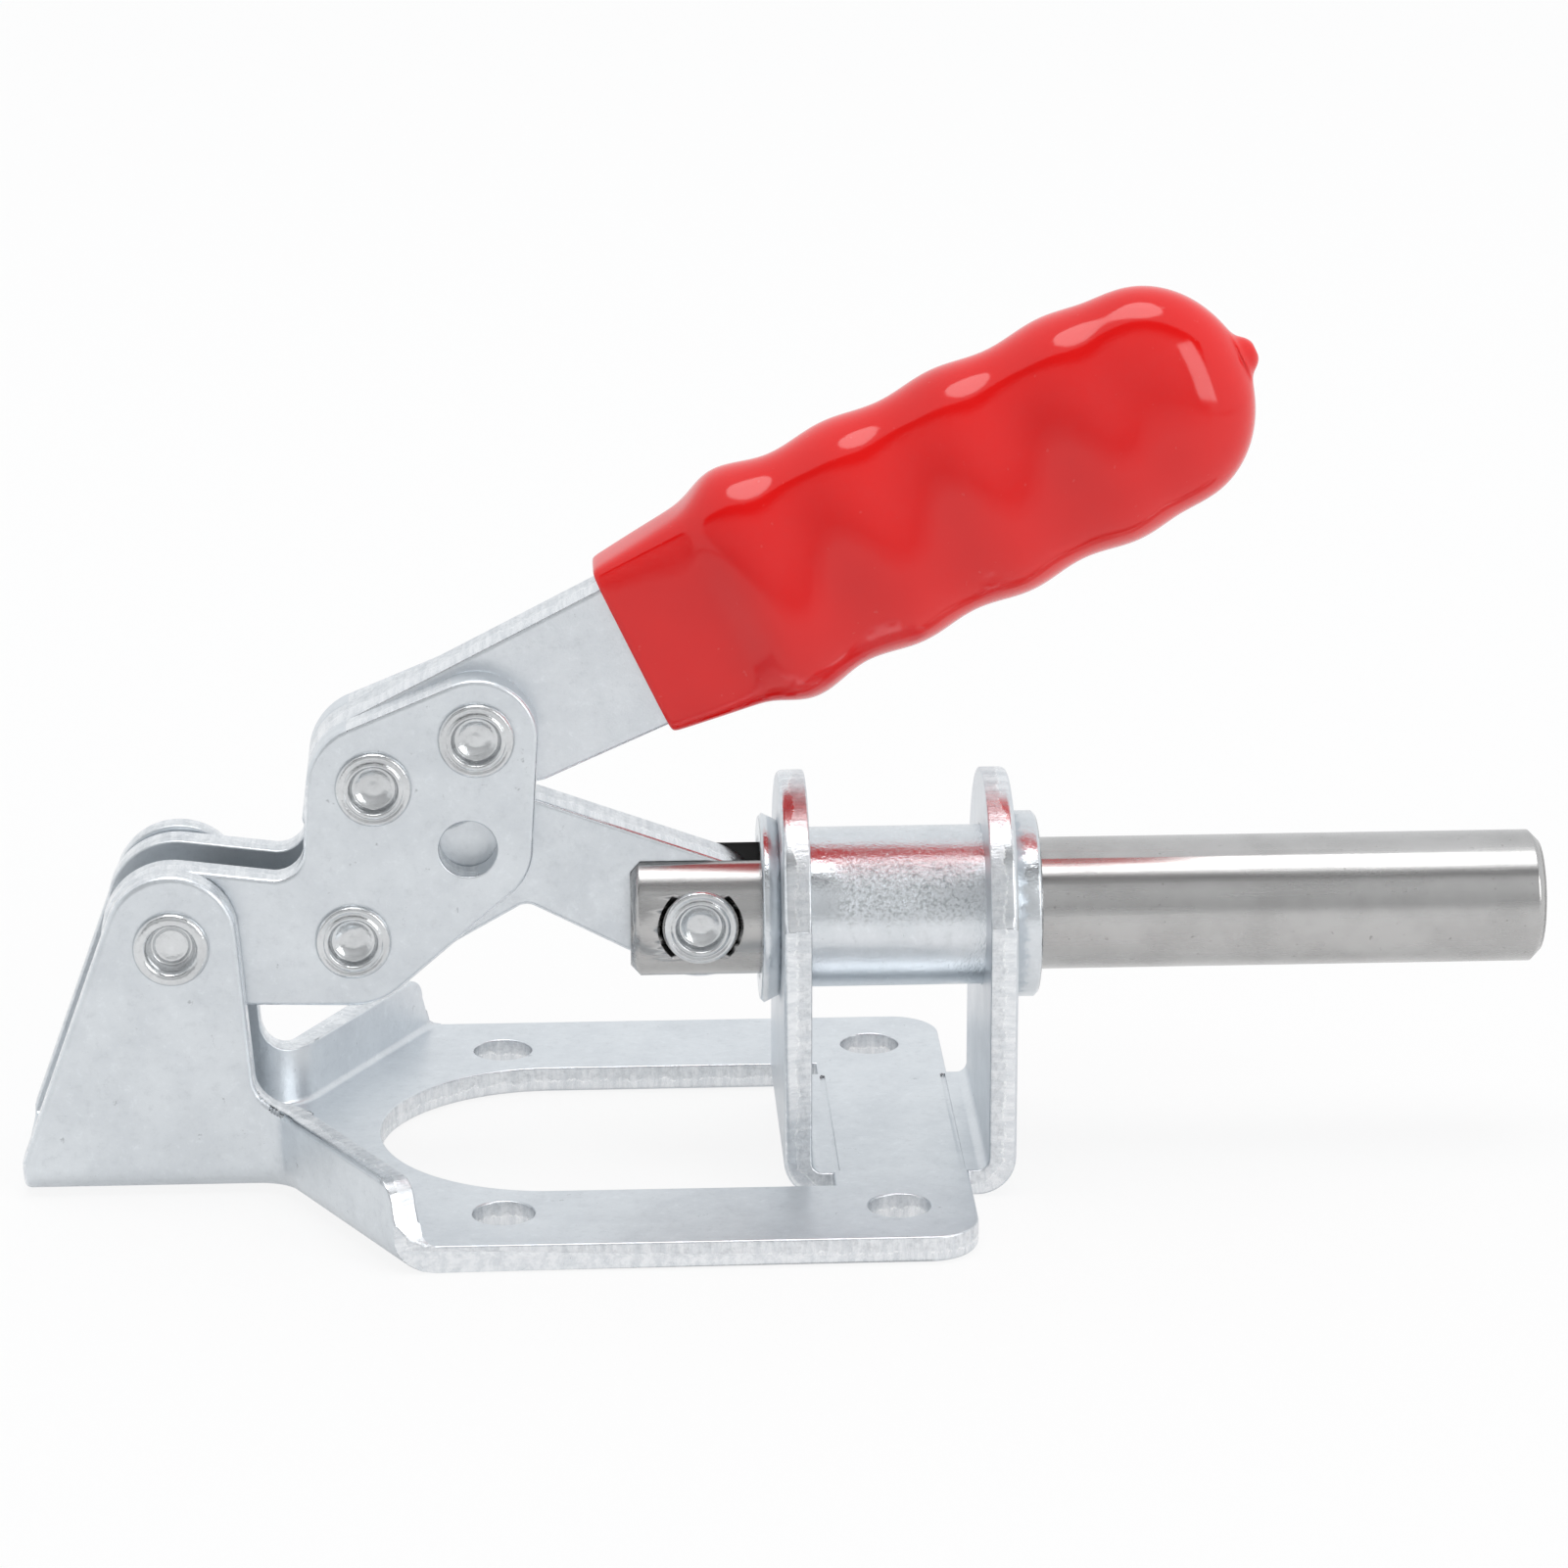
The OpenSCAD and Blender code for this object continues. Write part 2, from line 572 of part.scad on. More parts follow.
// A rivet's rolled end on a seat at z = 0, with its hollow and the punch's low cone in the middle
module rolled_end(shank_len, depth) {
    ring_r = ring_d / 2;
    hole_r = ring_hole_d / 2;
    crest_in = hole_r + ring_crest_r;
    crest_out = ring_r - ring_crest_r;
    floor_r = hole_r * 0.8;
    cone_r = 0.3;
    cone_h = 0.3;
    rotate_extrude() {
        polygon([[0, -shank_len], [rivet_d / 2, -shank_len], [rivet_d / 2, 0], [ring_r, 0],
            [ring_r, ring_h - ring_crest_r], [crest_out, ring_h - ring_crest_r], [crest_out, ring_h],
            [crest_in, ring_h], [crest_in, ring_h - ring_crest_r], [hole_r, ring_h - ring_crest_r],
            [floor_r, -depth], [cone_r, cone_h - depth], [0, cone_h - depth]]);
        intersection() {
            square([ring_r, ring_h]);
            for (x = [crest_in, crest_out]) translate([x, ring_h - ring_crest_r]) circle(ring_crest_r);
        }
    }
}

// A low domed head on a seat at z = 0
module set_head() {
    r = head_d / 2;
    ball_r = (r * r + head_h * head_h) / (2 * head_h);
    intersection() {
        translate([0, 0, head_h - ball_r]) sphere(ball_r);
        cylinder(r = r, h = head_h + 1);
    }
}

// A rivet across the handle, with its seats at -y and +y
module rivet(at, seat_y, depth) {
    translate([at[0], 0, at[1]]) rotate([90, 0, 0]) {
        translate([0, 0, seat_y]) rolled_end(seat_y, depth);
        mirror([0, 0, 1]) {
            cylinder(d = rivet_d, h = seat_y);
            translate([0, 0, seat_y]) set_head();
        }
    }
}

module rear_pivot_rivet() {
    color("silver") rivet(rear_pivot, ear_out_y, pivot_hollow_depth);
}

module link_rivet() {
    color("silver") rivet(link_pivot, plate_out_y, hollow_depth);
}

module bar_rivet_lower() {
    color("silver") rivet(low_rivet, plate_out_y, hollow_depth);
}

module bar_rivet_upper() {
    color("silver") rivet(high_rivet, plate_out_y, hollow_depth);
}

// The plunger's rivet is parted at the slot's walls, so that the link can swing
module plunger_rivet_ends() {
    seat_y = plunger_d / 2 - spot_depth;
    shank_len = seat_y - plate_in_y;
    color("silver") translate([plunger_pin[0], 0, plunger_pin[1]]) rotate([90, 0, 0]) {
        translate([0, 0, seat_y]) rolled_end(shank_len, hollow_depth);
        mirror([0, 0, 1]) {
            translate([0, 0, plate_in_y]) cylinder(d = rivet_d, h = shank_len);
            translate([0, 0, seat_y]) set_head();
        }
    }
}

module plunger_rivet_core() {
    color("silver") cross_pin(plunger_pin, rivet_d / 2, -link_y, link_y);
}

base_frame();
guide_sleeve();
rear_pivot_rivet();
plunger();
plunger_rivet_ends();
link();
plunger_rivet_core();
side_plate_near();
side_plate_far();
handle_bar();
handle_grip();
link_rivet();
bar_rivet_lower();
bar_rivet_upper();
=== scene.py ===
"""Push-pull toggle clamp with a dipped grip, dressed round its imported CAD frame."""
import math

import bmesh
import bpy
from mathutils import Matrix, Vector
from mathutils.bvhtree import BVHTree


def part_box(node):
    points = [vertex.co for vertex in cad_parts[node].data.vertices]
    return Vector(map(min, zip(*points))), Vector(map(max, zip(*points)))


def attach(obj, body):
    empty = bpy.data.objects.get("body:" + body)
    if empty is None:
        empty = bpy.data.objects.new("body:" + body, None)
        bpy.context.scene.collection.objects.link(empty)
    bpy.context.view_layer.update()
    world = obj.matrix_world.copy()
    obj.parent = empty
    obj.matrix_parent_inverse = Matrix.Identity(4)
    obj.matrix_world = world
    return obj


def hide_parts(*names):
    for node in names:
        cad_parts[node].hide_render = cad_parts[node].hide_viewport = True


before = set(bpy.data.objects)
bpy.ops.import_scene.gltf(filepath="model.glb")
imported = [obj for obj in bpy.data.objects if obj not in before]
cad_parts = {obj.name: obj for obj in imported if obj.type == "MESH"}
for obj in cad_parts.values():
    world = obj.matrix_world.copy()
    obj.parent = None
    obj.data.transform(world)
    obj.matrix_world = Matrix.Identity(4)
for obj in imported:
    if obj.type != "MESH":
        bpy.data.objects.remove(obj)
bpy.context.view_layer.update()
MM = 0.001

# Camera: a long lens a little above the clamp and nearly square to its side.
# Its place, turn and focal length were fitted to the clamp's straight edges.
camera_at = Vector((-15.3916, -476.0426, 187.1327)) * MM
yaw, pitch, tilt = (math.radians(a) for a in (2.8512, -17.6771, -0.0232))
sensor_mm = 36.0
focal_px, frame_px = 5660.29, 1601
nearest_seen = 10 * MM

forward = Vector((math.sin(yaw) * math.cos(pitch), math.cos(yaw) * math.cos(pitch), math.sin(pitch)))
level = Vector((math.cos(yaw), -math.sin(yaw), 0.0))
upright = level.cross(forward)
right = level * math.cos(tilt) + upright * math.sin(tilt)
up = upright * math.cos(tilt) - level * math.sin(tilt)
camera = bpy.data.objects.new("camera", bpy.data.cameras.new("camera"))
camera.data.sensor_width = sensor_mm
camera.data.lens = sensor_mm * focal_px / frame_px
camera.data.clip_start = nearest_seen
camera.matrix_world = Matrix((right, up, -forward)).transposed().to_4x4()
camera.matrix_world.translation = camera_at
bpy.context.collection.objects.link(camera)
bpy.context.scene.camera = camera
bpy.context.scene.view_settings.view_transform = "Standard"


# Floor: a sheet of white board that keeps a soft shadow under the clamp. To the camera and in the
# metal it is nearly white, and out of the camera's sight, in front, it is a little greyer.
# The two classes are what all finishes are written with.
class Value:
    """A node's output; arithmetic on it adds Math nodes."""

    def __init__(self, recipe, socket):
        self.recipe = recipe
        self.socket = socket

    def maths(self, operation, *values):
        return self.recipe.add("ShaderNodeMath", {"operation": operation}, *values)

    def __add__(self, other):
        return self.maths("ADD", self, other)

    def __sub__(self, other):
        return self.maths("SUBTRACT", self, other)

    def __rsub__(self, other):
        return self.maths("SUBTRACT", other, self)

    def __mul__(self, other):
        return self.maths("MULTIPLY", self, other)

    def __truediv__(self, other):
        return self.maths("DIVIDE", self, other)

    def __abs__(self):
        return self.maths("ABSOLUTE", self)

    __radd__ = __add__
    __rmul__ = __mul__


class Recipe:
    """One material or world, built up node by node."""

    def __init__(self, owner):
        self.owner = owner
        owner.use_nodes = True
        self.nodes = owner.node_tree.nodes
        self.nodes.clear()
        self.links = owner.node_tree.links

    def feed(self, socket, value):
        if isinstance(value, Value):
            self.links.new(value.socket, socket)
        else:
            socket.default_value = value

    def add(self, kind, settings, *places, out=0, **named):
        """Adds a node: its settings first, then its sockets, by place or by name with _ for a space."""
        node = self.nodes.new(kind)
        for key, value in settings.items():
            if key == "stops":
                ramp = node.color_ramp
                while len(ramp.elements) < len(value):
                    ramp.elements.new(0.5)
                for stop, (at, colour) in zip(ramp.elements, value):
                    stop.position = at
                    stop.color = (*colour, 1.0)
            else:
                setattr(node, key, value)
        for key, value in list(enumerate(places)) + list(named.items()):
            self.feed(node.inputs[key.replace("_", " ") if key in named else key], value)
        return Value(self, node.outputs[out])

    def place(self):
        return self.add("ShaderNodeTexCoord", {}, out="Object")

    def along(self, axis):
        """Where a point lies along one axis of the clamp."""
        return self.add("ShaderNodeSeparateXYZ", {}, self.place(), out=axis)

    def noise(self, at, scale, detail, roughness):
        return self.add("ShaderNodeTexNoise", {}, Vector=at, Scale=scale, Detail=detail,
                        Roughness=roughness)

    def band(self, value, low, high, to_low=0.0, to_high=1.0):
        return self.add("ShaderNodeMapRange", {"interpolation_type": "SMOOTHSTEP"},
                        value, low, high, to_low, to_high)

    def blend(self, share, one, other):
        """A colour between two, which are RGB triples or other nodes' colours."""
        node = self.nodes.new("ShaderNodeMix")
        node.data_type = "RGBA"
        factor, first, second = node.inputs[0], node.inputs[6], node.inputs[7]
        self.feed(factor, share)
        for socket, colour in ((first, one), (second, other)):
            self.feed(socket, colour if isinstance(colour, Value) else (*colour, 1.0))
        return Value(self, node.outputs[2])

    def finish(self, shader, kind="ShaderNodeOutputMaterial"):
        self.links.new(shader.socket, self.nodes.new(kind).inputs["Surface"])
        return self.owner


def matt(recipe, colour):
    """A surface without any gloss."""
    return recipe.add("ShaderNodeBsdfPrincipled", {}, Base_Color=colour, Roughness=1.0,
                      Specular_IOR_Level=0.0)


def made(name, bm, finishes):
    """Turns a finished bmesh into an object with its materials."""
    mesh = bpy.data.meshes.new(name)
    bm.to_mesh(mesh)
    bm.free()
    for finish in finishes:
        mesh.materials.append(finish)
    thing = bpy.data.objects.new(name, mesh)
    bpy.context.collection.objects.link(thing)
    return thing


floor_size = 6.0
floor_below = 0.05 * MM
grey_until, white_from = -0.38, -0.26
board_grey, board_white = (0.72, 0.72, 0.72), (0.82, 0.82, 0.82)
camera_share, mirror_share = 0.86, 0.5

board = Recipe(bpy.data.materials.new("white_board"))
depth = board.along(1)
dull_board = matt(board, board.blend(board.band(depth, grey_until, white_from), board_grey, board_white))
glow = board.add("ShaderNodeEmission", {}, Color=(1.0, 1.0, 1.0, 1.0), Strength=1.0)
camera_ray, mirror_ray, clear_ray = (board.add("ShaderNodeLightPath", {}, out=ray) for ray in (
    "Is Camera Ray", "Is Glossy Ray", "Is Transmission Ray"))
in_metal = board.band(depth, grey_until, white_from, 0.0, mirror_share)
glowing = camera_ray * camera_share + (mirror_ray + clear_ray) * in_metal
bm = bmesh.new()
bmesh.ops.create_grid(bm, x_segments=1, y_segments=1, size=floor_size / 2,
                      matrix=Matrix.Translation((0.0, 0.0, -floor_below)))
floor = made("floor", bm, [board.finish(board.add("ShaderNodeMixShader", {}, glowing, dull_board, glow))])

# Light: one wide soft box overhead, one tall one at the right front, and pale walls all round.
# A panel leans over the camera, pale at its foot and nearly black at its head, which gives round
# metal its darker side and its dark line.
wall_tint = (0.97, 0.985, 1.0, 1.0)
wall_level, white_level = 0.92, 1.0
world = Recipe(bpy.data.worlds.new("studio"))
seen_directly = world.add("ShaderNodeLightPath", {}, out="Is Camera Ray")
wall_glow = seen_directly * (white_level - wall_level) + wall_level
bpy.context.scene.world = world.finish(world.add("ShaderNodeBackground", {}, wall_tint, wall_glow),
                                       "ShaderNodeOutputWorld")


def soft_box(name, shape, at, aim, size, watts):
    lamp = bpy.data.lights.new(name, "AREA")
    lamp.shape = shape
    lamp.size, lamp.size_y = size
    lamp.energy = watts
    box = bpy.data.objects.new(name, lamp)
    box.matrix_world = (Vector(at) - Vector(aim)).to_track_quat("Z", "Y").to_matrix().to_4x4()
    box.matrix_world.translation = at
    box.visible_camera = False
    bpy.context.collection.objects.link(box)


soft_box("soft_box_top", "ELLIPSE", at=(0.0, -0.05, 1.2), aim=(0.0, 0.0, 0.0), size=(0.85, 0.65),
         watts=4.6)
soft_box("soft_box_right", "RECTANGLE", at=(0.9, -0.75, 0.55), aim=(0.0, 0.0, 0.04), size=(0.4, 0.8),
         watts=3.0)

panel_wide = 3.2
foot_y, foot_z = -1.40, 0.05
head_y, head_z = -0.50, 1.30
panel_shades = [(at, (grey, grey, grey)) for at, grey in (
    (0.0, 0.76), (0.50, 0.76), (0.73, 0.64), (0.85, 0.04), (1.0, 0.01))]
cloth = Recipe(bpy.data.materials.new("graded_cloth"))
climb = (cloth.along(2) - foot_z) / (head_z - foot_z)
shade = cloth.add("ShaderNodeValToRGB", {"stops": panel_shades}, climb)
bm = bmesh.new()
corner = bm.verts.new((-panel_wide / 2, foot_y, foot_z))
foot = bmesh.ops.extrude_vert_indiv(bm, verts=[corner])
bmesh.ops.translate(bm, vec=(panel_wide, 0.0, 0.0), verts=foot["verts"])
rise = bmesh.ops.extrude_edge_only(bm, edges=foot["edges"])["geom"]
bmesh.ops.translate(bm, vec=(0.0, head_y - foot_y, head_z - foot_z),
                    verts=[v for v in rise if isinstance(v, bmesh.types.BMVert)])
panel = made("graded_panel", bm, [cloth.finish(matt(cloth, shade))])

# Base frame: one punched and bent sheet of mild steel, zinc plated. The die rolled the edges over
# on one side and tore them on the other, and the flat faces keep the plating's fine grain.
sheet = 2.5 * MM
sheet_pale, sheet_deep = (0.76, 0.795, 0.825), (0.66, 0.695, 0.73)
torn_pale, torn_deep, painted_glint_white = (0.88, 0.90, 0.92), (0.72, 0.75, 0.78), (0.95, 0.97, 0.98)


def metal(recipe, colour, dull, relief, relief_deep):
    bump = recipe.add("ShaderNodeBump", {}, Strength=1.0, Distance=relief_deep, Height=relief)
    return recipe.finish(recipe.add("ShaderNodeBsdfPrincipled", {}, Base_Color=colour, Metallic=1.0,
                                    Roughness=dull, Normal=bump))


def darker(colour, share):
    return tuple(c * share for c in colour)


def zinc(name, pale, deep, rough=0.36, grain=1.0, pitted_shade_places=()):
    """Zinc plating: a fine grain under faint clouds, with small dark marks from handling.

    Each entry of the last argument is an axis, a low and a high place along it, and how far they
    fade. Where all of these places meet, the plating is pitted, and the pits are painted darker as a
    painted reflection of the dark panel.
    """
    plating = Recipe(bpy.data.materials.new(name))
    at = plating.place()
    clouds = plating.noise(at, 190.0, 4.0, 0.6)
    mottle = plating.noise(at, 950.0, 5.0, 0.8)
    grains = plating.noise(at, 3400.0, 2.0, 0.6)
    marks = plating.noise(at, 620.0, 6.0, 0.75)
    colour = plating.blend(plating.band(clouds, 0.32, 0.70, 0.0, 0.55), pale, deep)
    colour = plating.blend(plating.band(mottle, 0.50, 0.72, 0.0, 0.4), colour, darker(deep, 0.88))
    colour = plating.blend(plating.band(mottle, 0.30, 0.46, 0.45, 0.0), colour, darker(pale, 1.13))
    colour = plating.blend(plating.band(marks, 0.655, 0.70, 0.0, 0.55), colour, darker(deep, 0.52))
    relief = grains * 0.5 + mottle * 0.5
    if pitted_shade_places:
        pits_and_shade_band = 1.0
        for axis, low, high, fade in pitted_shade_places:
            place = plating.along(axis)
            pits_and_shade_band = plating.band(place, low - fade, low + fade) * pits_and_shade_band
            pits_and_shade_band = pits_and_shade_band * plating.band(place, high - fade, high + fade, 1.0, 0.0)
        pits = plating.noise(at, 3000.0, 5.0, 0.8)
        # Painted reflection: the pits in this band are painted dark in place of the dark panel's
        # reflection.
        pit_and_shade_specks = pits_and_shade_band * plating.band(pits, 0.48, 0.60, 0.0, 0.75)
        colour = plating.blend(pit_and_shade_specks, colour, darker(deep, 0.55))
        relief = relief + pits_and_shade_band * pits * 1.1
    dull = rough + (clouds - 0.5) * 0.1 + (grains - 0.5) * 0.2
    return metal(plating, colour, dull, relief, 0.03 * grain * MM)


def torn_edge(name, pale, deep):
    """A punched edge: first a burnished band, then a torn one, parted by a wavy lip with painted glints.
    """
    torn = Recipe(bpy.data.materials.new(name))
    across = torn.add("ShaderNodeAttribute", {"attribute_name": "across"}, out="Fac")
    foot = torn.add("ShaderNodeAttribute", {"attribute_name": "foot"}, out="Vector")
    streaks = torn.add("ShaderNodeTexNoise", {"noise_dimensions": "4D"}, Vector=foot, W=across * 0.0005,
                       Scale=1300.0, Detail=5.0, Roughness=0.7)
    pits = torn.noise(torn.place(), 1900.0, 4.0, 0.75)
    parting = across - torn.noise(foot, 330.0, 5.0, 0.7) * 0.9
    fracture = torn.band(parting, -0.04, 0.03)
    lip = torn.band(abs(parting), 0.02, 0.07, 1.0, 0.0)
    colour = torn.blend(torn.band(streaks, 0.36, 0.64), pale, deep)
    colour = torn.blend(fracture * torn.band(pits, 0.42, 0.70, 0.0, 0.5), colour, darker(deep, 0.72))
    # Painted highlight: white specks along the lip stand in for glints on the torn edge.
    colour = torn.blend(lip * torn.band(pits, 0.46, 0.58), colour, painted_glint_white)
    dull = 0.25 + fracture * 0.1 + (streaks - 0.5) * 0.2
    relief = streaks * (fracture * 0.3 + 0.2) + pits * fracture * 0.4 - fracture * 0.3
    return metal(torn, colour, dull, relief, 0.12 * MM)


merge_gap, sliver = 0.002 * MM, 0.001 * MM
sharp_from, flat_until, shading_breaks = (math.radians(a) for a in (32.0, 0.6, 46.0))
widest_small_hole = 9 * MM
just_inside, thickest_wall, wall_slack = 0.01 * MM, 30 * MM, 0.12
facing = 0.99
roll_steps, edge_steps = 5, 2
least_width = 2.2


def rolled_edges(bm, skin, spared):
    """Edges all round the skin, apart from those of small holes and those near the spared places."""
    left = {e for e in bm.edges
            if len({f[skin] for f in e.link_faces}) == 2 and e.calc_face_angle(0.0) > sharp_from}
    kept = []
    while left:
        growing = [left.pop()]
        loop = []
        while growing:
            edge = growing.pop()
            loop.append(edge)
            beside = {e for v in edge.verts for e in v.link_edges} & left
            left -= beside
            growing += beside
        ends = [v.co for e in loop for v in e.verts]
        if max(max(c[k] for c in ends) - min(c[k] for c in ends) for k in range(3)) > widest_small_hole:
            kept += [e for e in loop if all(
                ((e.verts[0].co + e.verts[1].co) / 2 - at).length > reach for at, reach in spared)]
    return kept


def sort_faces(bm, skin, thick, towards):
    """Marks the skin, which the die pushed in, and gives punched edges the second finish.

    Returns a tree that finds the nearest place on the skin.
    """
    walls = BVHTree.FromBMesh(bm)
    for face in bm.faces:
        start = face.calc_center_median() - face.normal * just_inside
        wall = walls.ray_cast(start, -face.normal, thickest_wall)[3]
        face.material_index = 0 if wall and abs(wall - thick) < wall_slack * thick else 1
    growing = [f for f in bm.faces if f.normal.dot(Vector(towards)) > facing and not f.material_index]
    while growing:
        face = growing.pop()
        face[skin] = 1
        growing += [f for e in face.edges if e.calc_face_angle(math.pi) < sharp_from for f in e.link_faces
                    if not f[skin]]
    bm.verts.index_update()
    return BVHTree.FromPolygons([v.co.copy() for v in bm.verts],
                                [[v.index for v in f.verts] for f in bm.faces if f[skin]])


def rounded(bm, edges, width, steps):
    bmesh.ops.bevel(bm, geom=edges, offset=width, offset_type="OFFSET", segments=steps, profile=0.5,
                    affect="EDGES", material=-1, clamp_overlap=False)


def dressed(node, body, name, finishes, edge=0.2 * MM, thick=None, towards=None, roll=0.6 * MM,
            spared=()):
    """A copy of a CAD node, with its edges rounded to `edge`, or left as they are.

    Where a wall isn't `thick`, it gets the second finish. The die rolled the side that looks
    `towards`, so that its edges are rounded to `roll`, but not near the `spared` places.
    """
    bm = bmesh.new()
    bm.from_mesh(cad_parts[node].data)
    bmesh.ops.remove_doubles(bm, verts=bm.verts, dist=merge_gap)
    bmesh.ops.dissolve_degenerate(bm, dist=sliver, edges=bm.edges)
    bm.normal_update()
    skin = bm.faces.layers.int.new("skin")
    if thick:
        skin_tree = sort_faces(bm, skin, thick, towards)
    if edge:
        bmesh.ops.dissolve_limit(bm, angle_limit=flat_until, verts=bm.verts, edges=bm.edges,
                                 delimit={"MATERIAL"})
        bm.normal_update()
    if thick:
        rounded(bm, rolled_edges(bm, skin, spared), roll, roll_steps)
        bm.normal_update()
    for face in bm.faces:
        face.smooth = True
    if edge:
        crisp = [e for e in bm.edges if len(e.link_faces) == 2 and e.calc_face_angle(0.0) > sharp_from
                 and min(f.calc_area() for f in e.link_faces) > least_width * edge * e.calc_length()]
        rounded(bm, crisp, edge, edge_steps)
    if thick:
        across = bm.verts.layers.float.new("across")
        foot = bm.verts.layers.float_vector.new("foot")
        for vert in bm.verts:
            place, _, _, gap = skin_tree.find_nearest(vert.co)
            vert[across] = min(1.0, gap / thick)
            vert[foot] = place
    piece = made(name, bm, finishes)
    piece.data.set_sharp_from_angle(angle=shading_breaks)
    piece.modifiers.new("even_shading", "WEIGHTED_NORMAL").keep_sharp = True
    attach(piece, body)
    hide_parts(node)


sheet_zinc = zinc("zinc_sheet", sheet_pale, sheet_deep)
torn_zinc = torn_edge("zinc_torn_edge", torn_pale, torn_deep)
rib_ends = [(Vector((-27.0, side * 27.5, 3.0)) * MM, 7.5 * MM) for side in (-1, 1)]
dressed("base_frame", "base", "bent_sheet_base", [sheet_zinc, torn_zinc], thick=sheet,
        towards=(0.0, 0.0, -1.0), spared=rib_ends)

# Guide sleeve: a turned steel tube pressed through the two guide ears and flared behind them. It is
# plated brighter than the sheet. Near its top, between the ears, the plating is pitted, and the pits
# are painted dark as a painted reflection of the dark panel.
pitted_shade_patch = [(0, 12.5 * MM, 26.0 * MM, 2 * MM), (2, 24.6 * MM, 29.4 * MM, MM)]
sleeve_zinc = zinc("zinc_sleeve", (0.76, 0.79, 0.82), (0.67, 0.71, 0.74), rough=0.22, grain=2.0,
                   pitted_shade_places=pitted_shade_patch)
dressed("guide_sleeve", "base", "turned_guide_sleeve", [sleeve_zinc], edge=None)

# Rivets: turned pins, plated bright. Their near ends are hollow and rolled over into a double ring
# on their seats, and their far ends are set in a shallow dome. The one through plunger and link is
# parted at the slot's walls, so that its middle can ride with the link.
bright_zinc = zinc("zinc_rivet", (0.72, 0.735, 0.745), (0.52, 0.53, 0.54), rough=0.19, grain=1.6)
shank_r, head_r, head_high = 2.5, 3.7, 0.9
core_half, slot_half = 2.5, 2.6
rivet_sides = 56
double_ring = [(3.45, 0.0), (3.45, 0.2), (3.40, 0.42), (3.22, 0.62), (3.02, 0.66), (2.86, 0.58),
               (2.74, 0.52), (2.64, 0.62), (2.50, 0.74), (2.34, 0.76), (2.20, 0.64), (2.10, 0.36),
               (2.02, 0.02), (1.93, -0.22), (1.84, -0.18), (1.70, -0.24), (1.45, -0.42), (1.15, -0.56),
               (0.85, -0.64), (0.60, -0.64), (0.35, -0.60), (0.0, -0.57)]
deep_hollow = [(3.45, 0.0), (3.45, 0.2), (3.40, 0.42), (3.24, 0.64), (3.0, 0.76), (2.72, 0.78),
               (2.46, 0.70), (2.26, 0.50), (2.12, 0.18), (2.04, -0.25), (1.98, -0.7), (1.84, -0.96),
               (1.68, -0.98), (1.56, -0.84), (1.40, -0.78), (1.1, -0.86), (0.75, -0.90), (0.4, -0.87),
               (0.0, -0.85)]
low_dome = [(head_r, 0.0), (head_r - 0.05, 0.12), (3.1, 0.40), (2.2, 0.66), (1.1, 0.84), (0.0, head_high)]


def seat_of(node):
    """How far from the clamp's middle the rivet's heads sit."""
    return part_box(node)[1][1] / MM - head_high


def near_end(ring, seat):
    return [(r, -seat - high) for r, high in reversed(ring)]


def far_end(seat):
    return [(r, seat + high) for r, high in low_dome]


def turned_pins(node, body, outlines):
    """Turns each outline of (radius, place across the clamp) about the node's middle."""
    low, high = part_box(node)
    middle = ((low[0] + high[0]) / 2, 0.0, (low[2] + high[2]) / 2)
    bm = bmesh.new()
    for outline in outlines:
        corners = [bm.verts.new((middle[0] + r * MM, y * MM, middle[2])) for r, y in outline]
        line = [bm.edges.new(pair) for pair in zip(corners, corners[1:])]
        bmesh.ops.spin(bm, geom=corners + line, cent=middle, axis=(0.0, 1.0, 0.0), angle=2 * math.pi,
                       steps=rivet_sides, use_merge=True)
    bmesh.ops.remove_doubles(bm, verts=bm.verts, dist=merge_gap)
    bmesh.ops.recalc_face_normals(bm, faces=bm.faces)
    for face in bm.faces:
        face.smooth = True
    piece = made(node.replace("rivet", "rolled_rivet"), bm, [bright_zinc])
    rounding = piece.modifiers.new("rounding", "SUBSURF")
    rounding.levels = rounding.render_levels = 1
    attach(piece, body)
    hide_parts(node)


for node, body, ring in (("rear_pivot_rivet", "base", deep_hollow), ("link_rivet", "handle", double_ring),
                         ("bar_rivet_lower", "handle", double_ring),
                         ("bar_rivet_upper", "handle", double_ring)):
    seat = seat_of(node)
    turned_pins(node, body, [near_end(ring, seat) + [(shank_r, -seat), (shank_r, seat)] + far_end(seat)])
seat = seat_of("plunger_rivet_ends")
turned_pins("plunger_rivet_ends", "plunger", [
    near_end(double_ring, seat) + [(shank_r, -seat), (shank_r, -slot_half), (0.0, -slot_half)],
    [(0.0, slot_half), (shank_r, slot_half), (shank_r, seat)] + far_end(seat)])
turned_pins("plunger_rivet_core", "link", [
    [(0.0, -core_half), (shank_r, -core_half), (shank_r, core_half), (0.0, core_half)]])

# Plunger: a centreless-ground steel bar, slotted behind for the link and tapped in front. It is bare
# steel, greyer than the plated parts, with fine lengthwise lines. The slot's walls are painted near
# black, a painted shade for the shadow inside the slot.
steel_pale, steel_deep = (0.54, 0.535, 0.53), (0.47, 0.465, 0.46)
speck_grey, slot_shade_black = (0.22, 0.21, 0.20), (0.03, 0.03, 0.03)
slot_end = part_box("plunger_rivet_core")[1][0] + 7 * MM
ground = Recipe(bpy.data.materials.new("ground_steel"))
place = ground.place()
drawn = ground.add("ShaderNodeMapping", {}, Vector=place, Scale=(30.0, 1600.0, 1600.0))
lines = ground.noise(drawn, 1.0, 3.0, 0.6)
haze = ground.noise(place, 160.0, 4.0, 0.6)
specks = ground.noise(place, 1500.0, 2.0, 0.7)
